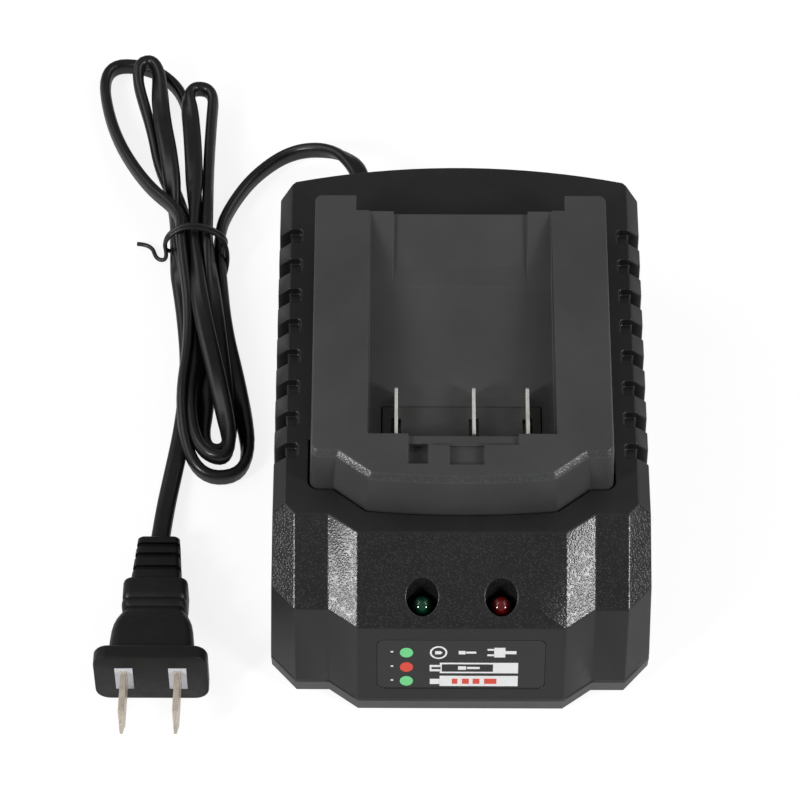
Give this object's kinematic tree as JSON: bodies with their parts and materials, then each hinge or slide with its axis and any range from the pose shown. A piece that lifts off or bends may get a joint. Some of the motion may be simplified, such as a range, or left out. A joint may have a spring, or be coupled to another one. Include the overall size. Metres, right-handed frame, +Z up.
{
  "type": "lithium battery charger",
  "caption": "Compact mains charger for slide-on tool batteries: faceted vented housing, railed dock, lamps in wells, a flat cord tied in a hank and a flat-pin plug.",
  "frame": {"origin": "middle of the housing's footprint, on the table", "axes": "+Y towards the back where the cord leaves, +Z up; the lamps and label face -Y"},
  "size_m": [0.141, 0.2066, 0.0538],
  "materials": {
    "shell_plastic": "fine moulded texture, charcoal",
    "base_plastic": "satin charcoal",
    "dock_plastic": "satin charcoal",
    "terminal_plastic": "satin black",
    "contact_nickel": "nickel plated, stamped",
    "lamp_green": "tinted clear",
    "lamp_red": "tinted clear",
    "label_film": "printed film, satin",
    "foot_rubber": "soft matt",
    "screw_steel": "zinc plated",
    "board_laminate": "paper laminate, uncoated",
    "fuse_glass": "clear with metal caps",
    "ferrite": "sintered dark grey",
    "winding_tape": "yellow wrapped",
    "film_case": "moulded yellow case",
    "can_sleeve": "shrink sleeve",
    "package_epoxy": "moulded epoxy",
    "sink_aluminium": "extruded, plain",
    "resistor_body": "lacquered",
    "wire_insulation": "smooth",
    "cord_jacket": "smooth flexible jacket",
    "tie_plastic": "coated wire",
    "plug_plastic": "moulded, satin gloss",
    "pin_metal": "nickel plated brass",
    "carrier_plastic": "white insert"
  },
  "bodies": {
    "root": {"lower_shell": "base_plastic", "top_shell": "shell_plastic", "battery_dock": "dock_plastic", "terminal_block": "terminal_plastic", "blade_positive": "contact_nickel", "blade_sense": "contact_nickel", "blade_negative": "contact_nickel", "green_led": "lamp_green", "red_led": "lamp_red", "led_spacers": "terminal_plastic", "label_panel": "label_film", "rubber_feet": "foot_rubber", "case_screws": "screw_steel", "dock_screws": "screw_steel", "board_screws": "screw_steel", "circuit_board": "board_laminate", "fuse": "fuse_glass", "filter_choke": "winding_tape", "filter_capacitor": "film_case", "bridge_rectifier": "package_epoxy", "mains_capacitor": "can_sleeve", "switching_transistor": "package_epoxy", "transistor_heat_sink": "sink_aluminium", "transformer_core": "ferrite", "transformer_winding": "winding_tape", "output_diode": "package_epoxy", "diode_heat_sink": "sink_aluminium", "output_capacitors": "can_sleeve", "optocoupler": "package_epoxy", "control_chip": "package_epoxy", "sense_resistor": "resistor_body", "output_leads": "wire_insulation", "mains_leads": "wire_insulation", "strain_relief": "plug_plastic", "cord_charger_run": "cord_jacket", "cord_hank": "cord_jacket", "cord_plug_run": "cord_jacket", "twist_tie": "tie_plastic", "plug_body": "plug_plastic", "plug_blades": "pin_metal", "plug_pin_carriers": "carrier_plastic"}
  },
  "joints": []
}
